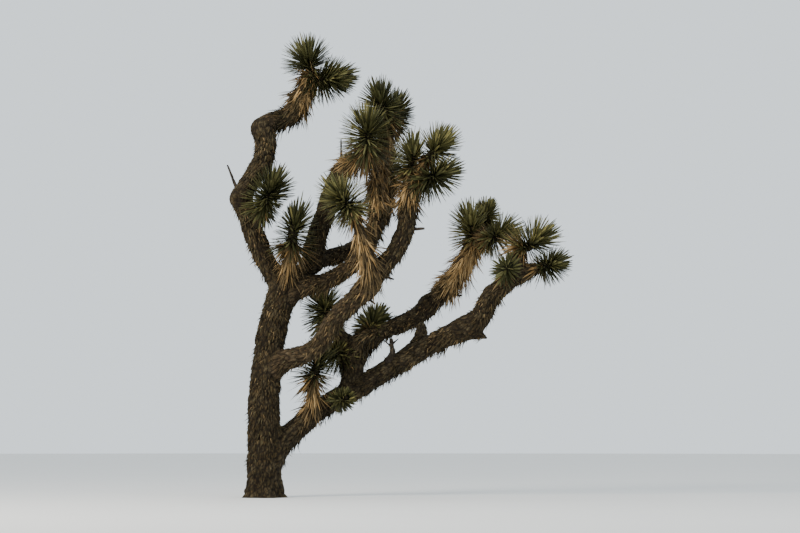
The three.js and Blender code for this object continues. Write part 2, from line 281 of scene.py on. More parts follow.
class NodeSheet:
    """A material's node tree, written one node a call."""

    def __init__(self, name: str) -> None:
        """Starts a material with a Principled shader.

        Args:
            name: The material's name.
        """
        self.material = bpy.data.materials.new(name)
        self.material.use_nodes = True
        self.nodes = self.material.node_tree.nodes
        self.shader = self.nodes["Principled BSDF"]

    def feed(self, node: bpy.types.Node, inputs: dict[str, Feed]) -> None:
        """Feeds a node's inputs.

        Args:
            node: The node.
            inputs: What each input gets: a number, a colour, a factor for each axis, or a socket.
        """
        for key, value in inputs.items():
            target = node.inputs[key]
            if isinstance(value, Socket):
                self.material.node_tree.links.new(value, target)
            else:
                target.default_value = (*value, 1) if target.type == "RGBA" else value

    def add(self, kind: str, output: str, inputs: dict[str, Feed]) -> Socket:
        """Adds a node.

        Args:
            kind: The node's type.
            output: The name of the output that is wanted.
            inputs: What its inputs are fed.

        Returns:
            That output.
        """
        node = self.nodes.new(kind)
        self.feed(node, inputs)
        return node.outputs[output]

    def place(self) -> Socket:
        """Reads the place on the object."""
        return self.add("ShaderNodeTexCoord", "Object", {})

    def trait(self, name: str, output: str) -> Socket:
        """Reads a value that the mesh carries at its points.

        Args:
            name: The value's name.
            output: The output for its kind, such as Fac or Vector.

        Returns:
            That output.
        """
        node = self.nodes.new("ShaderNodeAttribute")
        node.attribute_name = name
        return node.outputs[output]

    def noise(self, vector: Socket, scale: float, detail: float) -> Socket:
        """Gives a noise of so many swells in a metre and so many finer layers."""
        return self.add("ShaderNodeTexNoise", "Fac", {"Vector": vector, "Scale": scale, "Detail": detail})

    def stretched(self, vector: Socket, scale: Spot) -> Socket:
        """Scales a vector by a factor for each axis."""
        return self.add("ShaderNodeMapping", "Vector", {"Vector": vector, "Scale": scale})

    def span(self, value: Socket, low: float, high: float) -> Socket:
        """Maps a value so that low becomes 0 and high becomes 1, clipped."""
        return self.add("ShaderNodeMapRange", "Result", {"Value": value, "From Min": low, "From Max": high})

    def mixed(self, share: Socket, first: Tone, second: Tone) -> Socket:
        """Mixes two colours.

        Args:
            share: How much of the second colour shows.
            first: One colour.
            second: The other.

        Returns:
            The mixed colour.
        """
        node = self.nodes.new("ShaderNodeMix")
        node.data_type = "RGBA"
        self.feed(node, {"Factor": share, "A": first, "B": second})
        return node.outputs["Result"]

    def surface(self, tone: Tone, roughness: float, shine: float) -> None:
        """Sets the shader's base colour, how matt it is and how much it mirrors."""
        self.feed(self.shader, {"Base Color": tone, "Roughness": roughness, "Specular IOR Level": shine})

    def bumped(self, pattern: Socket, height: float) -> None:
        """Raises the shader's surface by a pattern, to a height in metres."""
        bump = self.add("ShaderNodeBump", "Normal", {"Height": pattern, "Distance": height})
        self.feed(self.shader, {"Normal": bump})


@dataclass(frozen=True)
class Finish:
    """A surface finish, whose material is made once.

    Attributes:
        label: The finish's name.
    """

    label: str

    def material(self) -> bpy.types.Material:
        """Gives the finish's material.

        Returns:
            The material, which is made at its first use.
        """
        made = bpy.data.materials.get(self.label)
        if made:
            return made
        sheet = NodeSheet(self.label)
        self.paint(sheet)
        return sheet.material

    def paint(self, sheet: NodeSheet) -> None:
        """Writes the finish's nodes on a new sheet."""
        raise NotImplementedError


@dataclass(frozen=True)
class LeafFinish(Finish):
    """The plain colour and gloss of one sort of leaf.

    Attributes:
        color: Its base colour.
        roughness: How matt it is.
    """

    color: Color
    roughness: float

    SHINE = 0.2

    def paint(self, sheet: NodeSheet) -> None:
        """Colours a leaf."""
        sheet.surface(self.color, self.roughness, self.SHINE)


class Tint(Enum):
    """The plain colours that leaves are dealt."""

    # The first tint is painted shade: a near-black green for the live leaves' roots, deep in each rosette.
    CORE = LeafFinish("leaf_core", (0.016, 0.019, 0.008), 0.7)
    DEEP = LeafFinish("leaf_deep_green", (0.032, 0.033, 0.011), 0.65)
    OLIVE = LeafFinish("leaf_olive", (0.076, 0.073, 0.024), 0.65)
    SAGE = LeafFinish("leaf_sage", (0.136, 0.130, 0.052), 0.65)
    LIME = LeafFinish("leaf_yellow_green", (0.200, 0.178, 0.062), 0.65)
    STRAW = LeafFinish("leaf_straw", (0.400, 0.262, 0.115), 0.7)
    GOLD = LeafFinish("leaf_golden", (0.260, 0.158, 0.060), 0.7)
    TAN = LeafFinish("leaf_tan", (0.150, 0.100, 0.044), 0.75)
    BROWN = LeafFinish("leaf_brown", (0.056, 0.038, 0.015), 0.8)
    ASH = LeafFinish("leaf_ashen", (0.066, 0.053, 0.024), 0.85)
    UMBER = LeafFinish("leaf_umber", (0.019, 0.014, 0.006), 0.85)


@dataclass(frozen=True)
class BarkFinish(Finish):
    """Corky bark: pale plates with dark clefts between them, whose near-black depths are partly painted
    shade.

    Attributes:
        plate: The colour of a plate.
        weathered: The colour of its greyest patches.
        warm: The colour of its freshest patches.
        cleft: The colour deep between plates, which is partly the darker bark there and partly painted shade;
            the fibres take it too.
    """

    plate: Color
    weathered: Color
    warm: Color
    cleft: Color

    # Each noise has its scale and its detail, and each span the values where its colour starts and is full.
    FIBRE_STRETCH = (1, 1, 0.22)
    FIBRES = (110, 5)
    FIBRE_SPAN = (0.62, 0.30)
    PATCHES = (7, 3)
    PATCH_SPAN = (0.46, 0.64)
    SPECKLE = (42, 4)
    SPECKLE_SPAN = (0.5, 0.75)
    GRIT = 0.006
    ROUGHNESS = 0.92
    SHINE = 0.15

    def paint(self, sheet: NodeSheet) -> None:
        """Lays patches, speckle, fibres and the clefts' partly painted shade over each other, and roughens
        the surface.

        Args:
            sheet: The new material's sheet.
        """
        grain = sheet.trait("grain", "Vector")
        fibres = sheet.noise(sheet.stretched(grain, self.FIBRE_STRETCH), *self.FIBRES)
        patches = sheet.noise(grain, *self.PATCHES)
        speckle = sheet.noise(grain, *self.SPECKLE)
        tone = sheet.mixed(sheet.span(patches, *self.PATCH_SPAN), self.plate, self.weathered)
        tone = sheet.mixed(sheet.span(speckle, *self.SPECKLE_SPAN), tone, self.warm)
        tone = sheet.mixed(sheet.span(fibres, *self.FIBRE_SPAN), tone, self.cleft)
        # Painted shade, partly the darker bark itself: the deeper a point lies in a cleft, the nearer its
        # colour goes to near-black.
        tone = sheet.mixed(sheet.trait("cleft", "Fac"), tone, self.cleft)
        sheet.surface(tone, self.ROUGHNESS, self.SHINE)
        sheet.bumped(fibres, self.GRIT)


class Bark(Enum):
    """The barks of the tree, by age."""

    OLD = BarkFinish(
        "bark_old",
        plate=(0.036, 0.027, 0.011), weathered=(0.090, 0.070, 0.036),
        warm=(0.084, 0.046, 0.016), cleft=(0.006, 0.004, 0.003),
    )
    YOUNG = BarkFinish(
        "bark_young",
        plate=(0.064, 0.044, 0.022), weathered=(0.092, 0.068, 0.038),
        warm=(0.120, 0.070, 0.030), cleft=(0.010, 0.007, 0.004),
    )
    DEAD = BarkFinish(
        "bark_dead",
        plate=(0.048, 0.037, 0.026), weathered=(0.080, 0.066, 0.050),
        warm=(0.065, 0.044, 0.028), cleft=(0.012, 0.009, 0.007),
    )


@dataclass(frozen=True)
class PlasterFinish(Finish):
    """Pale matt plaster with faint clouds.

    Attributes:
        color: The plaster's colour.
    """

    color: Color

    CLOUDS = (0.4, 2)
    CLOUD_TONE = 1.04
    ROUGHNESS = 0.9
    SHINE = 0.5

    def paint(self, sheet: NodeSheet) -> None:
        """Clouds the plaster.

        Args:
            sheet: The new material's sheet.
        """
        clouds = sheet.noise(sheet.place(), *self.CLOUDS)
        pale = tuple(value * self.CLOUD_TONE for value in self.color)
        sheet.surface(sheet.mixed(clouds, self.color, pale), self.ROUGHNESS, self.SHINE)


@dataclass(frozen=True)
class Blade:
    """The outline of one slim closed leaf, keeled below.

    Attributes:
        stations: The share of the length, of the width and of the keel's depth at each station
            before the point.
        slots: The material slot of the stretch that starts at each station, or None where the
            leaf's own tint shows.
    """

    stations: tuple[tuple[float, float, float], ...]
    slots: tuple[int | None, ...]

    def spread(
        self,
        roots: np.ndarray,
        along: np.ndarray,
        across: np.ndarray,
        lengths: np.ndarray,
        widths: np.ndarray,
        bends: np.ndarray,
        tints: np.ndarray,
    ) -> Shape:
        """Makes many leaves at once.

        Args:
            roots: Where each leaf starts.
            along: Which way each points.
            across: A direction over each leaf's width.
            lengths: How long each is.
            widths: How wide each is.
            bends: How far each tip is carried aside, as a vector.
            tints: The slot number of each leaf's own colour.

        Returns:
            All the leaves as one shape.
        """
        keel = np.cross(along, across)
        rows = []
        for share, wide, deep in self.stations:
            middle = roots + along * (lengths * share)[:, None] + bends * share**2
            half = across * (widths * wide / 2)[:, None]
            rows += [middle - half, middle + half, middle + keel * (widths * deep)[:, None]]
        rows.append(roots + along * lengths[:, None] + bends)
        sides = ((0, 1), (1, 2), (2, 0))
        ring, tip = len(sides), len(rows) - 1
        last = tip - ring
        quads = [(k + a, k + b, k + ring + b, k + ring + a) for k in range(0, last, ring) for a, b in sides]
        triangles = [(2, 1, 0), *((last + a, last + b, tip) for a, b in sides)]
        starts = (np.arange(len(roots)) * len(rows))[:, None, None]
        own = [tints if slot is None else np.full(len(roots), slot) for slot in self.slots]
        quad_slots = np.array([slots for slots in own[:-1] for _ in sides], dtype=int)
        triangle_slots = np.stack([own[0], *[own[-1]] * ring], axis=1)
        return Shape(
            np.stack(rows, axis=1).reshape(-1, 3),
            (np.array(quads, dtype=int).reshape(-1, 4) + starts).reshape(-1, 4),
            (np.array(triangles) + starts).reshape(-1, 3),
            np.concatenate([quad_slots.T.ravel(), triangle_slots.ravel()]),
        )


@dataclass(frozen=True)
class Palette:
    """The tints that the leaves of one piece are dealt, with their shares.

    Attributes:
        root: The tint at every leaf's root.
        tip: The tint of every leaf's spine.
        tints: The leaves' own tints.
        shares: How often each is dealt.
    """

    root: Tint
    tip: Tint
    tints: tuple[Tint, ...]
    shares: tuple[float, ...]

    ROOT_SLOT = 0
    TIP_SLOT = 1
    FIRST_TINT = 2
    MOST_LUCK = 0.999

    def materials(self) -> list[bpy.types.Material]:
        """Gives the materials in the order of their slots."""
        return [tint.value.material() for tint in (self.root, self.tip, *self.tints)]

    def deal(self, draw: np.random.Generator, count: int, drift: np.ndarray) -> np.ndarray:
        """Deals each leaf a tint.

        Args:
            draw: The source of random numbers.
            count: How many leaves there are.
            drift: How far each leaf's luck is moved towards the last tints, from -1 to 1.

        Returns:
            A slot number for each leaf.
        """
        luck = np.clip(draw.random(count) + drift, 0, self.MOST_LUCK)
        ends = np.cumsum(self.shares) / sum(self.shares)
        return np.searchsorted(ends, luck, side="right") + self.FIRST_TINT


# A live leaf's first stretch takes its palette's root tint, which for the live leaves is painted shade deep
# in the rosette.
LIVE_BLADE = Blade(
    stations=((0, 0.7, 0.30), (0.16, 1.0, 0.26), (0.62, 0.84, 0.22), (0.90, 0.42, 0.14)),
    slots=(Palette.ROOT_SLOT, None, None, Palette.TIP_SLOT),
)
DRY_BLADE = Blade(((0, 0.8, 0.35), (0.30, 1.0, 0.30), (0.72, 0.62, 0.20)), (None, None, None))
STUB_BLADE = Blade(((0, 1.0, 0.5),), (None,))

# Its root tint is painted shade in the middle of each rosette.
LIVE_PALETTE = Palette(
    Tint.CORE, Tint.BROWN, (Tint.DEEP, Tint.OLIVE, Tint.SAGE, Tint.LIME), (0.42, 0.34, 0.14, 0.10)
)
DRY_PALETTE = Palette(
    Tint.STRAW, Tint.UMBER, (Tint.BROWN, Tint.TAN, Tint.GOLD, Tint.STRAW), (0.31, 0.33, 0.28, 0.08)
)
OLD_PALETTE = Palette(
    Tint.BROWN, Tint.UMBER, (Tint.UMBER, Tint.BROWN, Tint.ASH, Tint.TAN), (0.40, 0.34, 0.20, 0.06)
)


@dataclass(frozen=True)
class CoatSort:
    """How one sort of dead leaf clothes a limb.

    Attributes:
        blade: The leaf's outline.
        palette: Its colours.
        density: Leaves on each square metre of bark.
        length: The leaf's length.
        width: Its width.
        flare: How far it stands off the limb, in degrees.
        sag: How much its own weight turns it down.
    """

    blade: Blade
    palette: Palette
    density: float
    length: float
    width: float
    flare: float
    sag: float

    # How a leaf strays from its sort: the least and most, or the usual stray.
    LENGTHS = (0.5, 1.3)
    WIDTHS = (0.7, 1.3)
    FLARES = (0.2, 2.0)
    SAGS = (0.4, 1.2)
    TURN_JITTER = 0.25
    TANGLE = 0.16
    TWIST = 0.25
    CURL = 0.06

    # How leaves droop, stand in clumps, and hang longer below a limb.
    DROOP = 0.06
    CLUMPING = 0.5
    CLUMP_LENGTH = 0.05
    CLUMP_ROWS = 3
    FRINGE = 0.11
    PATCH_LENGTH = 0.11
    PATCH_BEND = 3

    # How near the bark and the ground they come.
    LEAST_RISE = 0.08
    ROOT_DEPTH = 0.014
    BURIED = 0.04
    GROUND_GAP = 0.01

    # How their colours change with age and in blotches, and painted light and shade: paler on the side that
    # faces the sun, darker on the other.
    SUNWARD = np.array([-0.55, -0.45, 0.70])
    FADING = 0.3
    PAINTED_SUN_SIDE = 0.12
    MOTTLE = 0.38
    BLOTCH_LENGTH = 0.09
    BLOTCH_BENDS = 2
    BLOTCH_ROWS = 3
    BLOTCH_WINDING = 5

    def clothe(
        self, limb: "Limb", tree: "Skeleton", start: float, end: float, draw: np.random.Generator
    ) -> Shape:
        """Clothes a stretch of a limb with old leaves that hang back towards its foot.

        Args:
            limb: The limb.
            tree: The tree's centre lines.
            start: The share of the limb's length where the leaves begin.
            end: The share where they stop, which is over 1 where they cover the domed end.
            draw: The source of random numbers.

        Returns:
            All the leaves as one shape.
        """
        line = tree.lines[limb.name]
        stretch = (end - start) * line.length
        mean_radius = float(np.mean(limb.girth)) * limb.wood
        count = int(self.density * stretch * 2 * math.pi * mean_radius)
        distance = (start + (end - start) * draw.random(count)) * line.length
        angle = np.arange(count) * GOLDEN_ANGLE + draw.normal(0, self.TURN_JITTER, count)
        middle, along, across = line.at(distance)
        out = outward(along, across, angle)
        past_end = np.maximum(distance - line.length, 0) / (limb.girth[-1] * limb.wood)
        radius = limb.radius_at(distance, angle, line.length) * np.sqrt(1 - np.minimum(past_end, 1) ** 2)
        pointing = self._pointing(along, out, distance, angle, draw)
        patch = distance / self.PATCH_LENGTH
        hanging = np.clip(-out[:, 2], 0, 1) * ripple(patch, patch / self.PATCH_BEND) ** 2 * self.FRINGE
        lengths = self.length * draw.uniform(*self.LENGTHS, count) + hanging
        roots = middle + out * (radius - self.ROOT_DEPTH)[:, None]
        tips = roots + pointing * lengths[:, None]
        deepest = -self.BURIED - (1 - limb.wood) * radius
        kept = (tree.off_limbs(roots) > deepest) & (tips[:, 2] > self.GROUND_GAP)
        side = unit(np.cross(pointing, out) + draw.normal(0, self.TWIST, (count, 3)))
        side = unit(side - pointing * np.sum(side * pointing, axis=1, keepdims=True))
        bends = out * (lengths * draw.normal(0.0, self.CURL, count))[:, None]
        bends -= UP * (lengths * self.DROOP)[:, None]
        youth = distance / line.length - (start + end) / 2
        winding = np.sin(self.BLOTCH_ROWS * angle + distance * self.BLOTCH_WINDING)
        blotches = ripple(distance / self.BLOTCH_LENGTH, self.BLOTCH_BENDS * angle) * winding
        # Painted light and shade: leaves that face the sun are dealt paler tints, those facing away darker
        # ones.
        drift = limb.fade + youth * self.FADING + out @ self.SUNWARD * self.PAINTED_SUN_SIDE + blotches * self.MOTTLE
        tints = self.palette.deal(draw, count, drift)
        widths = self.width * draw.uniform(*self.WIDTHS, count)
        rows = (roots, pointing, side, lengths, widths, bends, tints)
        return self.blade.spread(*(row[kept] for row in rows))

    def _pointing(
        self,
        along: np.ndarray,
        out: np.ndarray,
        distance: np.ndarray,
        angle: np.ndarray,
        draw: np.random.Generator,
    ) -> np.ndarray:
        """Points leaves back along the limb, off it in clumps, and down by their own weight.

        Args:
            along: The limb's direction at each leaf.
            out: The direction off its surface.
            distance: How far along the limb each leaf stands.
            angle: Where round it, in radians.
            draw: The source of random numbers.

        Returns:
            A unit vector for each leaf.
        """
        count = len(distance)
        clumps = 1 + self.CLUMPING * np.sin(distance / self.CLUMP_LENGTH + self.CLUMP_ROWS * angle)
        flare = np.radians(self.flare * draw.uniform(*self.FLARES, count) * clumps)
        pointing = -along * np.cos(flare)[:, None] + out * np.sin(flare)[:, None]
        pointing -= UP * (self.sag * draw.uniform(*self.SAGS, count))[:, None]
        sunk = np.maximum(self.LEAST_RISE - np.sum(pointing * out, axis=1), 0)
        return unit(pointing + out * sunk[:, None] + draw.normal(0, self.TANGLE, (count, 3)))


class Coat(Enum):
    """The sorts of old leaves on the limbs."""

    SPARSE = CoatSort(STUB_BLADE, OLD_PALETTE, 240, 0.060, 0.022, 22, 0.45)
    STUBS = CoatSort(STUB_BLADE, OLD_PALETTE, 560, 0.075, 0.022, 30, 0.45)
    SHAG = CoatSort(DRY_BLADE, OLD_PALETTE, 800, 0.150, 0.020, 24, 0.30)
    THATCH = CoatSort(DRY_BLADE, DRY_PALETTE, 1150, 0.230, 0.019, 26, 0.30)


@dataclass(frozen=True)
class Snag:
    """A broken stub or an old flower stalk.

    Attributes:
        at: The share of the limb's length where it stands.
        length: Its length from the limb's centre line.
        lean: Degrees to the right of upright.
        swing: Degrees away from the viewer.
        radius: Its radius at the centre line.
    """

    at: float
    length: float
    lean: float
    swing: float
    radius: float


@dataclass(frozen=True)
class Branch:
    """Anything that grows from the centre line of its parent.

    Attributes:
        name: Its name, which is also its solid's.
        parent: The name of the branch that it leaves, or nothing for the trunk.
        at: The share of the parent's length where it leaves.
        legs: The length, lean and swing of each stretch between kinks.
    """

    name: str
    parent: str
    at: float
    legs: Legs


class Skeleton:
    """The centre lines of all limbs and rosettes, and how near a point lies to them."""

    NEAR_SAMPLES = 48
    STEM_SAMPLES = 8

    def __init__(self, limbs: tuple["Limb", ...], rosettes: tuple["Rosette", ...]) -> None:
        """Grows every line from its parent's.

        Args:
            limbs: The limbs, parents before children.
            rosettes: The rosettes.
        """
        self.limbs = {limb.name: limb for limb in limbs}
        self.rosettes = {rosette.name: rosette for rosette in rosettes}
        self.lines: dict[str, CentreLine] = {}
        for branch in (*limbs, *rosettes):
            joints = [self.lines[branch.parent].point(branch.at) if branch.parent else np.zeros(3)]
            for length, lean, swing in branch.legs:
                joints.append(joints[-1] + heading(lean, swing) * length)
            self.lines[branch.name] = CentreLine.through(np.array(joints))

    def off_limb(self, name: str, points: np.ndarray) -> np.ndarray:
        """Measures how far points lie off a limb's surface.

        Args:
            name: The limb's name.
            points: The points, one a row.

        Returns:
            A distance for each point, negative inside the limb.
        """
        line, limb = self.lines[name], self.limbs[name]
        distance = np.linspace(0, line.length, self.NEAR_SAMPLES)
        middles = line.at(distance)[0]
        gaps = np.linalg.norm(points[:, None] - middles[None], axis=2) - limb.girth_at(distance / line.length)
        return gaps.min(axis=1)

    def off_limbs(self, points: np.ndarray) -> np.ndarray:
        """Measures how far points lie off the nearest limb's surface."""
        return np.min([self.off_limb(name, points) for name in self.limbs], axis=0)

    def off_stem(self, name: str, points: np.ndarray) -> np.ndarray:
        """Measures how far points lie from a rosette's stem."""
        middles = self.lines[name].points[:: CentreLine.SAMPLES // self.STEM_SAMPLES]
        return np.linalg.norm(points[:, None] - middles[None], axis=2).min(axis=1)

    def kin(self, name: str) -> list[str]:
        """Lists the limbs that touch a limb: its parent, its children and its parent's others.

        Args:
            name: The limb's name.

        Returns:
            Their names.
        """
        parent = self.limbs[name].parent
        return [
            other.name
            for other in self.limbs.values()
            if other.name != name
            and (other.name == parent or other.parent == name or other.parent == parent != "")
        ]


@dataclass(frozen=True)
class BarkRelief:
    """The lumps, plates and clefts of bark, in a limb's own straightened frame.

    Attributes:
        lump_size: How wide a lump is.
        lump_height: How far it stands out.
        plate_width: How wide a plate is.
        plate_length: How long it is, along the limb.
        cleft_depth: How deep the clefts go.
        cleft_share: How far a cleft's slope reaches into a plate.
        overlap: How far a plate's lower end stands off the next.
        grit_size: How wide a grain of the fine roughness is.
        grit: The height of the fine roughness.
        waver: How far the clefts stray, as a multiple of that height.
    """

    lump_size: float = 0.22
    lump_height: float = 0.020
    plate_width: float = 0.052
    plate_length: float = 0.120
    cleft_depth: float = 0.018
    cleft_share: float = 0.34
    overlap: float = 0.010
    grit_size: float = 0.03
    grit: float = 0.005
    waver: float = 2

    def read(self, grain: np.ndarray) -> tuple[np.ndarray, np.ndarray]:
        """Reads the relief at points of the straightened limb.

        Args:
            grain: The points, with the third coordinate along the limb.

        Returns:
            The height, and how deep in a cleft each point lies from 0 to 1.
        """
        scale = np.array([self.plate_width, self.plate_width, self.plate_length])
        lumps = np.array([noise.noise(Vector(p)) for p in grain / self.lump_size])
        fine = np.array([noise.noise(Vector(p)) for p in grain / self.grit_size])
        edge, tilt = np.empty(len(grain)), np.empty(len(grain))
        for i, spot in enumerate((grain + fine[:, None] * self.grit * self.waver) / scale):
            distances, centres = noise.voronoi(Vector(spot))
            edge[i] = distances[1] - distances[0]
            tilt[i] = centres[0][2] - spot[2]
        cleft = 1 - smooth(edge / self.cleft_share)
        height = lumps * self.lump_height - cleft * self.cleft_depth + tilt * self.overlap + fine * self.grit
        return height, cleft


RELIEF = BarkRelief()


@dataclass(frozen=True)
class Limb(Branch):
    """A trunk, stem, bough or spur.

    Attributes:
        girth: Its radius at places evenly spaced from foot to tip.
        snags: Its broken stubs.
        bark: Its bark.
        coats: Where old leaves clothe it: the sort, and from and to which share of its length.
        wood: The share of its girth that is bark, where old leaves make up the rest.
        fade: How far its old leaves' colours move towards straw, from -1 to 1: partly their own fading, and
            partly painted light that makes a shaded limb's leaves paler, as on the front bough.
        node: The solid that its pieces replace, where that has another name.
    """

    girth: tuple[float, ...]
    snags: tuple[Snag, ...] = ()
    bark: Bark = Bark.OLD
    coats: tuple[tuple[Coat, float, float], ...] = ((Coat.STUBS, 0.0, 1.0),)
    wood: float = 1.0
    fade: float = 0.0
    node: str = ""

    # The mesh's fineness, its domed end, and the swelling in the crooks.
    STEP_AROUND = 0.0125
    STEP_ALONG = 0.0155
    DOME = np.radians([18, 36, 54, 72])
    TIP_RISE = 0.3
    FILLET = 0.13

    # The collar where a limb leaves its parent.
    COLLAR_SHARE = 0.14
    COLLAR_PLACE = 0.170

    # The trunk's root flare, plates and winding swells, which its solid has too.
    FLARE = 0.095
    FLARE_HEIGHT = 0.270
    FLARE_LOBES = 5
    LOBE_SHARE = 0.3
    PLATE_ROWS = 30
    PLATE_COLUMNS = 12
    PLATE_RISE = 0.012
    SWELL_COLUMNS = 5
    SWELL_LENGTH = 0.150
    SWELL_RISE = 0.007

    # How the bark's relief lies on it.
    BARK_SINK = 0.002
    FULL_RELIEF = 0.11
    GRAIN_SHIFT = np.array([7.3, 1.9, 3.1])
    GRAIN_SHIFTS = 37
    # How much of the clefts' painted shade shows, and how much at the middle of each end.
    CLEFT_TONE = 0.85
    END_TONE = 0.5

    STUB_TAPER = (1.0, 0.75, 0.5, 0.35)
    STUB_STEP = 0.012
    STUB_SIDES = 18

    @classmethod
    def rod(
        cls, name: str, line: CentreLine, length: float, girth: tuple[float, ...], step: float, sides: int
    ) -> Shape:
        """Makes a plain rough rod round a line.

        Args:
            name: A name that gives it its grain.
            line: Its centre line.
            length: How much of the line it covers.
            girth: Its radius at places evenly spaced from foot to tip.
            step: The longest gap between two rings.
            sides: How many points a ring has.

        Returns:
            A closed shape.
        """
        rings = math.ceil(length / step) + 1
        bare = cls(name, parent=name, at=1, legs=(), girth=girth)
        return bare._tube(line, np.linspace(0, length, rings), np.ones(rings), sides)

    def girth_at(self, share: np.ndarray) -> np.ndarray:
        """Gives the radius at shares of the limb's length."""
        return np.interp(share, np.linspace(0, 1, len(self.girth)), self.girth)

    def radius_at(self, distance: np.ndarray, angle: np.ndarray, length: float) -> np.ndarray:
        """Gives the limb's radius with its collar, or with the trunk's flare, plates and swells.

        Args:
            distance: How far along the limb.
            angle: Where round it, in radians.
            length: The limb's whole length.

        Returns:
            A radius for each place.
        """
        radius = self.girth_at(distance / length) * self.wood
        if not self.parent:
            lobes = 1 + self.LOBE_SHARE * np.cos(self.FLARE_LOBES * angle)
            flare = self.FLARE * np.exp(-distance / self.FLARE_HEIGHT) * lobes
            rows = np.cos(math.pi * self.PLATE_ROWS * distance / length)
            plates = np.cos(self.PLATE_COLUMNS * angle) * rows
            swells = np.cos(self.SWELL_COLUMNS * angle - distance / self.SWELL_LENGTH)
            return radius + flare + self.PLATE_RISE * plates + self.SWELL_RISE * swells
        if self.at == 1:
            return radius
        place = distance / self.COLLAR_PLACE
        return radius * (1 + self.COLLAR_SHARE * place * np.exp(1 - place))

    def skin(self, tree: Skeleton) -> Shape:
        """Makes the bark from foot to tip, with its relief.

        Args:
            tree: The tree's centre lines.

        Returns:
            One closed shape.
        """
        line = tree.lines[self.name]
        widest = max(self.girth) * self.wood + (0 if self.parent else self.FLARE)
        around = math.ceil(2 * math.pi * widest / self.STEP_AROUND)
        steps = math.ceil(line.length / self.STEP_ALONG)
        tip = self.girth[-1] * self.wood
        straight = np.linspace(0, line.length, steps + 1)
        distance = np.concatenate([straight, line.length + np.sin(self.DOME) * tip])
        scale = np.concatenate([np.ones(len(straight)), np.cos(self.DOME)])
        shape = self._tube(line, distance, scale, around)
        shape.points += self._fillet(tree, shape.points, line, distance, around)
        return shape

    def _tube(self, line: CentreLine, distance: np.ndarray, scale: np.ndarray, around: int) -> Shape:
        """Makes a closed rough tube round a line.

        Args:
            line: The line.
            distance: How far along it each ring stands.
            scale: What each ring's radius is multiplied by.
            around: How many points a ring has.

        Returns:
            The tube, with a point in the middle of each end.
        """
        rings = len(distance)
        middle, along, across = line.at(distance)
        angle = np.tile(np.arange(around) / around * 2 * math.pi, rings)
        ring = np.repeat(np.arange(rings), around)
        walked = np.clip(distance, 0, line.length)[ring]
        radius = self.radius_at(walked, angle, line.length) * scale[ring]
        grain = np.stack([np.cos(angle) * radius, np.sin(angle) * radius, distance[ring]], axis=1)
        grain += self.GRAIN_SHIFT * (letter_sum(self.name) % self.GRAIN_SHIFTS)
        height, cleft = RELIEF.read(grain)
        strength = np.clip(radius / self.FULL_RELIEF, 0, 1) * scale[ring]
        rough = radius + (height - self.BARK_SINK) * strength
        points = middle[ring] + outward(along[ring], across[ring], angle) * rough[:, None]
        if not self.parent:
            points[:around, 2] = 0
        ends = np.stack([middle[0], middle[-1] + along[-1] * radius[-1] * self.TIP_RISE])
        low = np.arange(around)
        after = (low + 1) % around
        start = (np.arange(rings - 1) * around)[:, None]
        quads = np.stack([start + low, start + after, start + around + after, start + around + low], axis=2)
        last, foot = (rings - 1) * around, rings * around
        caps = [
            np.stack([after, low, np.full(around, foot)], axis=1),
            np.stack([last + low, last + after, np.full(around, foot + 1)], axis=1),
        ]
        return Shape(
            np.vstack([points, ends]),
            quads.reshape(-1, 4),
            np.vstack(caps),
            traits={
                "grain": np.vstack([grain, grain[:1], grain[-1:]]),
                "cleft": np.concatenate([cleft * self.CLEFT_TONE, [self.END_TONE] * 2]),
            },
        )

    def _fillet(
        self, tree: Skeleton, points: np.ndarray, line: CentreLine, distance: np.ndarray, around: int
    ) -> np.ndarray:
        """Finds how far the bark swells into the crook with each limb that it touches.

        Args:
            tree: The tree's centre lines.
            points: The tube's points.
            line: The limb's centre line.
            distance: How far along it each ring stands.
            around: How many points a ring has.

        Returns:
            A vector for each point.
        """
        moved = np.zeros_like(points)
        middles = np.repeat(line.at(distance)[0], around, axis=0)
        rings = len(distance) * around
        swell = np.zeros(rings)
        for name in tree.kin(self.name):
            gap = tree.off_limb(name, points[:rings])
            near = (gap > -self.FILLET / 2) & (gap < self.FILLET)
            swell[near] = np.maximum(swell[near], (self.FILLET - np.abs(gap[near])) ** 2 / (4 * self.FILLET))
        moved[:rings] = unit(points[:rings] - middles) * swell[:, None]
        if not self.parent:
            moved[:around] = 0
        return moved

    def stub(self, tree: Skeleton, snag: Snag) -> Shape:
        """Makes one broken stub of dead wood.

        Args:
            tree: The tree's centre lines.
            snag: The stub's place and size.

        Returns:
            A closed shape.
        """
        foot = tree.lines[self.name].point(snag.at)
        stalk = CentreLine.through(np.array([foot, foot + heading(snag.lean, snag.swing) * snag.length]))
        girth = tuple(snag.radius * share for share in self.STUB_TAPER)
        name = f"{self.name}_{snag.at}"
        return self.rod(name, stalk, snag.length, girth, self.STUB_STEP, self.STUB_SIDES)

    def build(self, tree: Skeleton) -> list[bpy.types.Object]:
        """Makes the limb's bark, its snags and its old leaves.

        Args:
            tree: The tree's centre lines.

        Returns:
            The pieces.
        """
        pieces = [self.skin(tree).piece(f"{self.name}_bark", [self.bark.value.material()], rounded=True)]
        if self.snags:
            stubs = Shape.merged([self.stub(tree, snag) for snag in self.snags])
            pieces.append(stubs.piece(f"{self.name}_snags", [Bark.DEAD.value.material()], rounded=True))
        for coat, start, end in self.coats:
            draw = np.random.default_rng(SEED + letter_sum(self.name + coat.name))
            leaves = coat.value.clothe(self, tree, start, end, draw)
            name = f"{self.name}_{coat.name.lower()}"
            pieces.append(leaves.piece(name, coat.value.palette.materials(), rounded=False))
        for piece in pieces:
            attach(piece, BODY)
            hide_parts(self.node or self.name)
        return pieces


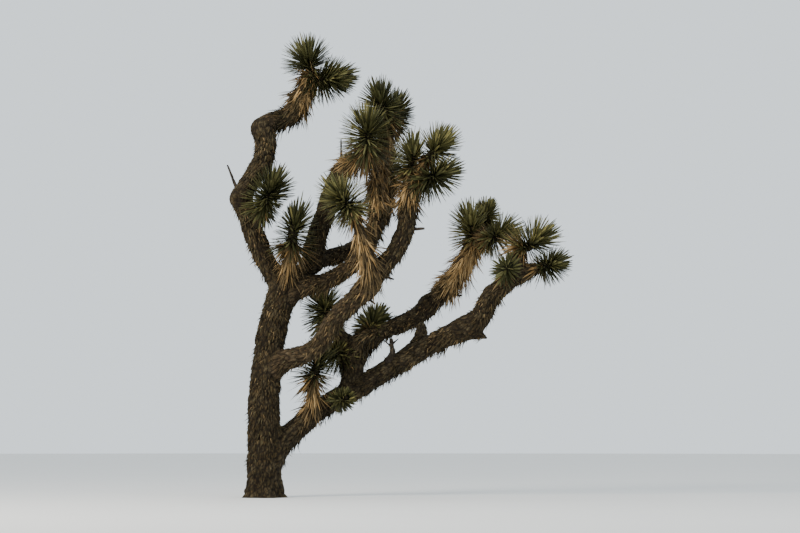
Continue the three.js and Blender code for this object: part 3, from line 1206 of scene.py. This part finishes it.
@dataclass(frozen=True)
class Rosette(Branch):
    """A head of dagger leaves on a short stem.

    Attributes:
        reach: What its leaves' length is multiplied by.
        sun: How far its colours move towards yellow green, from -1 to 1, as painted sunlight; below 0 they
            move towards dark green as painted shade.
        skirt: How many dead leaves hang below it, as a share of the usual number.
        straw: What the dead leaves' length and width are multiplied by.
        live: How much of its stem carries live leaves, in metres.
        spread: The greatest lean of a live leaf from the stem, in degrees.
        fullness: How many live leaves it has, as a share of the usual number.
    """

    reach: float = 1.0
    sun: float = 0.0
    skirt: float = 1.0
    straw: float = 0.85
    live: float = 0.32
    spread: float = 124.0
    fullness: float = 1.0

    # All its leaves, and how each strays from the usual.
    FOOT_SHARE = 0.02
    LEAF_REACH = 0.355
    LEAF_WIDTH = 0.029
    LENGTH_JITTER = 0.14
    WIDTHS = (0.8, 1.2)
    TURN_JITTER = 0.10
    ROOT_SHARE = 0.6
    SIDE_TILT = 1e-3
    DROOP_LEANS = np.radians([20, 90, 150])
    DROOPS = (-0.02, 0.04, 0.10)
    DROOP_JITTER = 0.02
    CLOSING = 0.03

    # The live leaves: how many on a metre of stem, and how upright and how tangled they stand.
    LIVE_LEAVES = 1120
    LEAST_LEAN = 6.0
    LIVE_TANGLE = 5.0

    # The dead leaves of the skirt.
    DRY_LEAVES = 110
    DRY_STRETCH = 0.16
    DRY_OVERLAP = 0.1
    DRY_LEANS = (158.0, 98.0)
    DRY_TANGLE = 12.0
    DRY_SHARE = 1.15
    DRY_LENGTHS = (0.6, 1.1)
    DRY_LIGHT = 0.6
    DRY_SEED = 1000

    # Painted light and shade: how the way a leaf faces the light, and the rosette's own sun, move its
    # colours.
    SUNWARD = np.array([-0.25, -0.45, 0.85])
    LIGHTING = 0.22
    SUNNING = 0.3

    # The shares of its length that a crowded leaf is cut to, and how far it keeps off the limbs.
    SHORTENED = (1.0, 0.84, 0.7, 0.56)
    CLEARANCE = 0.004
    MIDWAY = 0.6
    MIDWAY_SINK = 0.03

    STEM_RADIUS = 0.080
    STEM_TIP = 0.03
    STEM_STEP = 0.02
    STEM_SIDES = 24

    def places(
        self, count: int, span: tuple[float, float], leans: tuple[float, float]
    ) -> tuple[np.ndarray, np.ndarray, np.ndarray]:
        """Deals leaves out in a golden spiral, evenly over the ball that they make.

        Args:
            count: How many leaves there are.
            span: The shares of the stem where the lowest and the highest stand.
            leans: Their leans from the stem, in degrees.

        Returns:
            The share of the stem, the lean and the turn of each leaf.
        """
        share = (np.arange(count) + 0.5) / count
        cosines = np.interp(share, (0, 1), np.cos(np.radians(leans)))
        return np.interp(share, (0, 1), span), np.arccos(cosines), np.arange(count) * GOLDEN_ANGLE

    def leaves(self, tree: Skeleton, dry: bool) -> Shape:
        """Grows the rosette's live or dead leaves.

        A leaf is shortened or left out where it would touch a limb. A live leaf also keeps to the
        space nearer to its own stem than to any other rosette's.

        Args:
            tree: The tree's centre lines.
            dry: Whether to grow the dead leaves of the skirt.

        Returns:
            The leaves as one shape.
        """
        draw = np.random.default_rng(SEED + letter_sum(self.name) + (self.DRY_SEED if dry else 0))
        line = tree.lines[self.name]
        live_from = max(self.FOOT_SHARE, 1 - self.live / line.length)
        if dry:
            count = int(self.DRY_LEAVES * self.skirt)
            dry_from = max(self.FOOT_SHARE, live_from - self.DRY_STRETCH / line.length)
            span, leans = (dry_from, live_from + self.DRY_OVERLAP), self.DRY_LEANS
        else:
            count = int(self.LIVE_LEAVES * self.live * self.fullness)
            span, leans = (live_from, 1.0), (self.spread, self.LEAST_LEAN)
        share, lean, turn = self.places(count, span, leans)
        lean = lean + draw.normal(0, math.radians(self.DRY_TANGLE if dry else self.LIVE_TANGLE), count)
        turn = turn + draw.normal(0, self.TURN_JITTER, count)
        middle, axis, across = line.at(share * line.length)
        out = outward(axis, across, turn)
        along = axis * np.cos(lean)[:, None] + out * np.sin(lean)[:, None]
        side = unit(np.cross(along, out + axis * self.SIDE_TILT))
        strayed = draw.uniform(1 - self.LENGTH_JITTER, 1 + self.LENGTH_JITTER, count)
        lengths = self.LEAF_REACH * self.reach * strayed
        if dry:
            lengths = lengths * self.DRY_SHARE * self.straw * draw.uniform(*self.DRY_LENGTHS, count)
        roots = middle + out * (self.STEM_RADIUS * self.ROOT_SHARE)
        lengths, kept = self._fitted(tree, roots, along, lengths, alone=dry)
        droop = np.interp(lean, self.DROOP_LEANS, self.DROOPS) + draw.normal(0, self.DROOP_JITTER, count)
        bends = -UP * (lengths * np.clip(droop, 0, 1))[:, None] - out * (lengths * self.CLOSING)[:, None]
        widths = self.LEAF_WIDTH * draw.uniform(*self.WIDTHS, count) * (self.straw if dry else 1)
        palette, blade = (DRY_PALETTE, DRY_BLADE) if dry else (LIVE_PALETTE, LIVE_BLADE)
        # Painted light and shade: leaves facing the sun and sunny rosettes are dealt yellower tints, the
        # others darker ones.
        light = along @ self.SUNWARD * self.LIGHTING + self.sun * self.SUNNING
        tints = palette.deal(draw, count, light * self.DRY_LIGHT if dry else light)
        rows = (roots, along, side, lengths, widths, bends, tints)
        return blade.spread(*(row[kept] for row in rows))

    def _fitted(
        self, tree: Skeleton, roots: np.ndarray, along: np.ndarray, lengths: np.ndarray, alone: bool
    ) -> tuple[np.ndarray, np.ndarray]:
        """Shortens leaves until they fit.

        Args:
            tree: The tree's centre lines.
            roots: Where each leaf starts.
            along: Which way it points.
            lengths: How long it would be.
            alone: Whether the other rosettes are let be, as by hanging leaves.

        Returns:
            The lengths that fit, and which leaves fit at all.
        """
        fitting = np.zeros(len(roots))
        for share in self.SHORTENED:
            tips = roots + along * (lengths * share)[:, None]
            own = tree.off_stem(self.name, tips)
            rivals = [tree.off_stem(name, tips) for name in tree.rosettes if name != self.name]
            free = (alone | (np.min(rivals, axis=0) > own)) & (tree.off_limbs(tips) > self.CLEARANCE)
            middles = roots + along * (lengths * share * self.MIDWAY)[:, None]
            free &= tree.off_limbs(middles) > -self.MIDWAY_SINK
            fitting = np.where((fitting == 0) & free, share, fitting)
        return lengths * fitting, fitting > 0

    def stem(self, tree: Skeleton) -> Shape:
        """Makes the stem of packed leaf bases that the leaves stand out of.

        Args:
            tree: The tree's centre lines.

        Returns:
            One closed shape.
        """
        line = tree.lines[self.name]
        girth = (self.STEM_RADIUS, self.STEM_RADIUS, self.STEM_TIP)
        return Limb.rod(self.name, line, line.length, girth, self.STEM_STEP, self.STEM_SIDES)

    def build(self, tree: Skeleton) -> list[bpy.types.Object]:
        """Makes the rosette's stem and leaves.

        Args:
            tree: The tree's centre lines.

        Returns:
            The pieces.
        """
        live, dead = (self.leaves(tree, dry) for dry in (False, True))
        pieces = [
            # The stem's near-black umber is partly its own dark brown and partly painted shade in the
            # rosette's middle.
            self.stem(tree).piece(f"{self.name}_stem", [Tint.UMBER.value.material()], rounded=True),
            live.piece(f"{self.name}_leaves", LIVE_PALETTE.materials(), rounded=False),
            dead.piece(f"{self.name}_skirt", DRY_PALETTE.materials(), rounded=False),
        ]
        for piece in pieces:
            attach(piece, BODY)
            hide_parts(self.name)
        return pieces


LIMBS = (
    Limb(
        "trunk", "", 0, ((0.840, 0, 0), (0.770, 1, 0), (0.530, 6, 2), (0.510, 9, 3), (0.550, 15, 3)),
        girth=(0.228, 0.238, 0.222, 0.212), coats=((Coat.STUBS, 0.12, 1.0),), fade=-0.1,
    ),
    Limb(
        "leader_foot", "trunk", 1, ((0.370, -38, -8), (0.490, -24, -8), (0.380, -20, -9), (0.250, -22, -9)),
        girth=(0.155, 0.158, 0.142), snags=(Snag(0.97, 0.590, -22, 8, 0.042),),
        coats=((Coat.STUBS, 0.0, 1.09),),
    ),
    Limb(
        "leader_waist", "leader_foot", 1, ((0.300, 30, 15), (0.320, 31, 11), (0.280, 12, 8), (0.280, -8, 8)),
        girth=(0.140, 0.160, 0.170), coats=((Coat.STUBS, 0.0, 1.13),),
    ),
    Limb(
        "leader_neck", "leader_waist", 1, ((0.200, 48, 12), (0.230, 75, 10), (0.260, 40, 4), (0.490, 23, -3)),
        girth=(0.150, 0.168, 0.172, 0.122), bark=Bark.YOUNG, wood=0.86, fade=-0.1,
        coats=((Coat.STUBS, 0.0, 0.5), (Coat.SHAG, 0.2, 0.75), (Coat.THATCH, 0.55, 1.0)),
    ),
    Limb(
        "fork_spur", "trunk", 1, ((0.330, 15, -41), (0.350, 10, -23)),
        girth=(0.130, 0.092), bark=Bark.YOUNG, wood=0.85, coats=((Coat.THATCH, 0.35, 0.9),),
    ),
    Limb(
        "back_bough", "trunk", 0.95, ((0.470, 41, 18), (0.320, 44, 34), (0.370, 71, 36), (0.400, 72, 35)),
        girth=(0.145, 0.125),
    ),
    Limb(
        "back_riser", "back_bough", 0.5,
        ((0.300, 7, -18), (0.430, 19, -11), (0.600, 18, -11), (0.270, 36, -21), (0.350, 68, -20)),
        girth=(0.142, 0.150, 0.128, 0.105), snags=(Snag(0.77, 0.480, -1, 12, 0.030),),
        coats=((Coat.STUBS, 0.0, 0.9), (Coat.SHAG, 0.72, 0.9), (Coat.THATCH, 0.84, 0.98)),
    ),
    Limb(
        "back_limb", "back_bough", 1, ((0.350, 52, 26), (0.320, 29, 18), (0.310, 24, 9), (0.330, 4, 0)),
        girth=(0.125, 0.105), coats=((Coat.STUBS, 0.0, 0.8), (Coat.SHAG, 0.6, 1.0)),
    ),
    # The front bough's old leaves are made paler, partly as painted light on a bough that lies in the
    # rosettes' shade.
    Limb(
        "front_bough", "trunk", 0.93, ((0.400, 61, -3), (0.370, 75, 5), (0.340, 59, 3), (0.350, 50, 8)),
        girth=(0.145, 0.120), bark=Bark.YOUNG, fade=0.45,
    ),
    Limb(
        "middle_limb", "front_bough", 1,
        ((0.350, 24, 8), (0.330, 8, 7), (0.350, 0, 10), (0.400, 7, 6), (0.540, 14, -6)),
        girth=(0.120, 0.108, 0.084), bark=Bark.YOUNG, fade=0.1,
        coats=((Coat.STUBS, 0.0, 0.4), (Coat.SHAG, 0.15, 0.6), (Coat.THATCH, 0.4, 1.0)),
    ),
    Limb(
        "right_bough", "trunk", 0.585,
        (
            (0.330, 58, -23), (0.450, 71, -23), (0.270, 51, -22),
            (0.300, 29, -12), (0.320, 43, -11), (0.470, 46, -10),
        ),
        girth=(0.158, 0.138, 0.155), snags=(Snag(0.93, 0.270, 128, -12, 0.042),), fade=0.1,
        bark=Bark.YOUNG, coats=((Coat.SPARSE, 0.0, 0.5), (Coat.STUBS, 0.4, 1.0)),
    ),
    Limb(
        "east_limb", "right_bough", 1,
        ((0.350, 38, -10), (0.350, 37, 0), (0.280, 24, 4), (0.420, 8, 6), (0.350, 8, 4)),
        girth=(0.135, 0.140, 0.118),
        snags=(Snag(0.13, 0.260, 108, -10, 0.036), Snag(0.58, 0.290, 88, -8, 0.046)),
        coats=((Coat.STUBS, 0.0, 0.85), (Coat.SHAG, 0.7, 0.9), (Coat.THATCH, 0.8, 1.0)),
    ),
    Limb(
        "skirt_limb", "right_bough", 0.97, ((0.240, 29, -34), (0.320, -13, -24), (0.430, -16, -9)),
        girth=(0.125, 0.160, 0.098), bark=Bark.YOUNG, wood=0.82, fade=-0.12,
        coats=((Coat.THATCH, 0.12, 1.0),),
    ),
    Limb(
        "low_stem", "trunk", 0.12,
        ((0.460, 31, 13), (0.360, 44, 20), (0.360, 48, 16), (0.380, 56, 12), (0.480, 61, 2)),
        girth=(0.180, 0.145), fade=-0.15,
    ),
    Limb(
        "low_limb", "low_stem", 1, ((0.460, 60, -8), (0.460, 61, -15), (0.500, 60, -19), (0.410, 66, -20)),
        girth=(0.155, 0.150, 0.165), fade=-0.1,
    ),
    Limb(
        "low_limb_end", "low_limb", 1, ((0.360, 112, -8),),
        girth=(0.150, 0.125, 0.070, 0.020), node="low_limb",
    ),
    Limb(
        "far_limb", "low_limb", 1,
        ((0.300, 55, -16), (0.220, 26, -16), (0.240, 37, -12), (0.410, 54, -13), (0.300, 70, -15)),
        girth=(0.162, 0.160, 0.138, 0.092),
    ),
    Limb(
        "arch_spur", "far_limb", 0.84, ((0.220, -14, 17), (0.170, 7, 15)),
        girth=(0.100, 0.110, 0.090), bark=Bark.YOUNG, wood=0.85, coats=((Coat.SHAG, 0.1, 1.0),),
    ),
    Limb(
        "riser", "low_stem", 0.93, ((0.400, -4, 20), (0.350, -10, 29)),
        girth=(0.150, 0.145), fade=-0.15,
    ),
    Limb(
        "mid_bough", "riser", 0.55,
        ((0.270, 21, 12), (0.330, 50, 29), (0.310, 64, 27), (0.280, 67, 16), (0.230, 63, 10), (0.280, 47, 4)),
        girth=(0.172, 0.132, 0.145), coats=((Coat.STUBS, 0.0, 1.0), (Coat.SHAG, 0.1, 0.4)),
    ),
    Limb(
        "tall_limb", "mid_bough", 1, ((0.290, 45, 4), (0.290, 40, 0), (0.290, 31, -4), (0.290, 26, -8)),
        girth=(0.145, 0.192, 0.190, 0.145), snags=(Snag(0.16, 0.350, 92, -14, 0.040),),
        bark=Bark.YOUNG, wood=0.78, fade=0.3, coats=((Coat.SHAG, 0.0, 0.5), (Coat.THATCH, 0.3, 1.0)),
    ),
    Limb(
        "back_spur", "tall_limb", 0.94, ((0.330, 28, 46), (0.240, 30, 40)),
        girth=(0.095, 0.075), bark=Bark.YOUNG, coats=((Coat.SHAG, 0.3, 1.0),),
    ),
    Limb(
        "side_spur", "tall_limb", 0.96, ((0.250, 66, -20),),
        girth=(0.100, 0.082), bark=Bark.YOUNG, coats=((Coat.THATCH, 0.3, 1.0),),
    ),
    Limb(
        "left_spur", "riser", 1, ((0.230, -44, -10), (0.200, -48, -30)),
        girth=(0.125, 0.088), coats=((Coat.SHAG, 0.3, 1.0),),
    ),
    Limb(
        "skirt_spur", "low_stem", 0.5, ((0.340, 24, -27), (0.270, -2, -9)),
        girth=(0.105, 0.080), bark=Bark.YOUNG, coats=((Coat.THATCH, 0.35, 1.0),),
    ),
    Limb(
        "east_spur", "east_limb", 0.95, ((0.190, 29, -13), (0.200, 32, 11)),
        girth=(0.095, 0.082), bark=Bark.YOUNG, coats=((Coat.THATCH, 0.3, 1.0),),
    ),
    Limb("cross_stub", "low_limb", 0.42, ((0.480, 34, 27), (0.240, 9, 50)), girth=(0.098, 0.092)),
    Limb(
        "dead_stub", "low_limb", 0.21, ((0.350, 27, -29), (0.230, -3, -25)),
        girth=(0.060, 0.030), snags=(Snag(0.8, 0.150, -48, 20, 0.022), Snag(0.88, 0.140, 50, -20, 0.022)),
        bark=Bark.DEAD,
    ),
)

ROSETTES = (
    Rosette(
        "crown_rosette", "leader_neck", 1, ((0.240, -13, -3),),
        reach=1.12, sun=-0.9, straw=0.7, fullness=1.2,
    ),
    Rosette(
        "crown_side", "leader_neck", 0.97, ((0.210, 105, -14), (0.220, 87, -16)),
        sun=-0.4, skirt=0.3, live=0.38, spread=96,
    ),
    Rosette(
        "elbow_rosette", "leader_foot", 0.62, ((0.300, 24, -36), (0.550, 24, -22)),
        sun=-1.0, skirt=0.25, live=0.42, fullness=0.9,
    ),
    Rosette(
        "fork_rosette", "fork_spur", 1, ((0.440, 9, -6),),
        reach=1.1, sun=-0.7, skirt=1.15, live=0.44, straw=1.05, fullness=0.55,
    ),
    Rosette(
        "bow_rosette", "back_riser", 1, ((0.230, 6, -23), (0.250, 2, -17)),
        reach=1.2, sun=-0.25, skirt=2.2, live=0.34,
    ),
    Rosette("top_rosette", "middle_limb", 1, ((0.240, -12, -19), (0.270, -17, -17)), sun=-0.7),
    Rosette("top_side", "middle_limb", 1, ((0.220, 12, 28), (0.200, 22, 21)), reach=0.9, sun=-0.8),
    Rosette("shade_rosette", "back_limb", 1, ((0.370, -4, 11),), sun=-0.7),
    Rosette("east_rosette", "east_limb", 1, ((0.240, 5, -5), (0.210, 5, -5))),
    Rosette("east_high", "east_spur", 1, ((0.400, 37, 9),), sun=0.15),
    Rosette("east_side", "east_limb", 0.97, ((0.240, 72, -23), (0.280, 70, -23)), sun=-0.3),
    Rosette("skirt_rosette", "skirt_limb", 1, ((0.290, -24, -9), (0.320, -36, -9)), sun=0.2),
    Rosette("tall_rosette", "tall_limb", 1, ((0.350, -11, -10),), sun=1.0, skirt=1.3, spread=100),
    Rosette("tall_back", "back_spur", 1, ((0.270, 10, 17),), reach=0.6, sun=0.2),
    Rosette("tall_side", "side_spur", 1, ((0.140, 72, -13), (0.170, 66, -6)), reach=0.9, sun=0.8),
    Rosette("arch_rosette", "arch_spur", 1, ((0.160, 68, 0), (0.190, 55, -9)), reach=1.08, sun=0.3),
    Rosette(
        "far_rosette", "far_limb", 1, ((0.310, 74, -15),),
        reach=0.76, sun=-0.8, skirt=0.5, live=0.22, spread=105,
    ),
    Rosette(
        "far_front", "far_limb", 0.58, ((0.340, 18, -43), (0.150, 34, -52)),
        reach=0.62, sun=-0.5, skirt=0.4, live=0.2, fullness=0.55,
    ),
    Rosette("left_rosette", "left_spur", 1, ((0.250, -14, -24), (0.150, -11, -16)), sun=0.1),
    Rosette(
        "nest_rosette", "mid_bough", 0.22, ((0.450, 28, 40), (0.160, 33, 41)),
        reach=0.75, sun=-0.1, skirt=0.5,
    ),
    Rosette(
        "low_rosette", "skirt_spur", 1, ((0.440, 14, -8),),
        sun=-0.8, skirt=1.2, spread=104, fullness=0.5,
    ),
    Rosette(
        "shade_low", "riser", 0.62, ((0.220, -58, -6), (0.180, -77, -31)),
        reach=0.9, sun=-0.3, skirt=0.5,
    ),
    Rosette(
        "stem_rosette", "low_stem", 0.76, ((0.340, 83, -60), (0.110, 60, -61)),
        reach=0.5, sun=-0.5, skirt=0.3, fullness=0.4, spread=86,
    ),
)


def facing(place: Spot, target: Spot) -> Euler:
    """Gives the turn of a lamp or camera that stands at a place and looks at a target."""
    return (Vector(target) - Vector(place)).to_track_quat("-Z", "Y").to_euler()


@dataclass(frozen=True)
class Lamp:
    """A square lamp.

    Attributes:
        name: The lamp's name.
        place: Where it hangs.
        size: The length of its side.
        power: Its power in watts.
        color: The colour of its light.
    """

    name: str
    place: Spot
    size: float
    power: float
    color: Color

    def hang(self, target: Spot) -> None:
        """Hangs the lamp.

        Args:
            target: What it faces.
        """
        data = bpy.data.lights.new(self.name, "AREA")
        data.size = self.size
        data.energy = self.power
        data.color = self.color
        lamp = bpy.data.objects.new(self.name, data)
        lamp.location = self.place
        lamp.rotation_euler = facing(self.place, target)
        bpy.context.collection.objects.link(lamp)


@dataclass(frozen=True)
class Studio:
    """A pale floor, soft light and the camera.

    Attributes:
        eye: Where the camera stands.
        target: What it looks at.
        lens: Its focal length in millimetres.
        sight: How far it sees.
        floor_radius: The floor's radius.
        floor_finish: The floor's finish.
        sky_color: The colour of the light from all round.
        sky_strength: How strong that light is.
        lamps: The lamps, which face the camera's target.
    """

    eye: Spot = (2.04, -40.0, 1.1)
    target: Spot = (2.04, 0.0, 3.46)
    lens: float = 120
    sight: float = 200
    floor_radius: float = 60
    floor_finish: Finish = PlasterFinish("floor_plaster", (0.72, 0.71, 0.69))
    sky_color: Color = (0.82, 0.90, 0.95)
    sky_strength: float = 1.35
    lamps: tuple[Lamp, ...] = (
        Lamp("key", (-9, -12, 13), 6, 3400, (1.0, 0.93, 0.82)),
        Lamp("fill", (13, -13, 6), 8, 400, (0.90, 0.95, 1.0)),
    )

    FLOOR_SIDES = 96

    def lay_floor(self) -> None:
        """Lays a round floor."""
        bpy.ops.mesh.primitive_circle_add(
            vertices=self.FLOOR_SIDES, radius=self.floor_radius, fill_type="NGON"
        )
        floor = bpy.context.object
        floor.name = "floor"
        floor.data.materials.append(self.floor_finish.material())

    def light(self) -> None:
        """Lights the scene from all round and by the lamps."""
        world = bpy.data.worlds.new("sky")
        world.use_nodes = True
        background = world.node_tree.nodes["Background"]
        background.inputs["Color"].default_value = (*self.sky_color, 1)
        background.inputs["Strength"].default_value = self.sky_strength
        bpy.context.scene.world = world
        for lamp in self.lamps:
            lamp.hang(self.target)

    def set_camera(self) -> None:
        """Sets up the camera that the scene renders through."""
        data = bpy.data.cameras.new("camera")
        data.lens = self.lens
        data.clip_end = self.sight
        camera = bpy.data.objects.new("camera", data)
        camera.location = self.eye
        camera.rotation_euler = facing(self.eye, self.target)
        bpy.context.collection.objects.link(camera)
        bpy.context.scene.camera = camera

    def build(self) -> None:
        """Lays the floor, lights the scene and sets up the camera."""
        self.lay_floor()
        self.light()
        self.set_camera()


def main() -> None:
    """Builds the tree, then its studio, and reports each piece."""
    logging.basicConfig(level=logging.INFO, format="%(name)s: %(message)s")
    tree = Skeleton(LIMBS, ROSETTES)
    for branch in (*LIMBS, *ROSETTES):
        for piece in branch.build(tree):
            log.info("%s has %d faces", piece.name, len(piece.data.polygons))
    Studio().build()


if __name__ == "__main__":
    main()
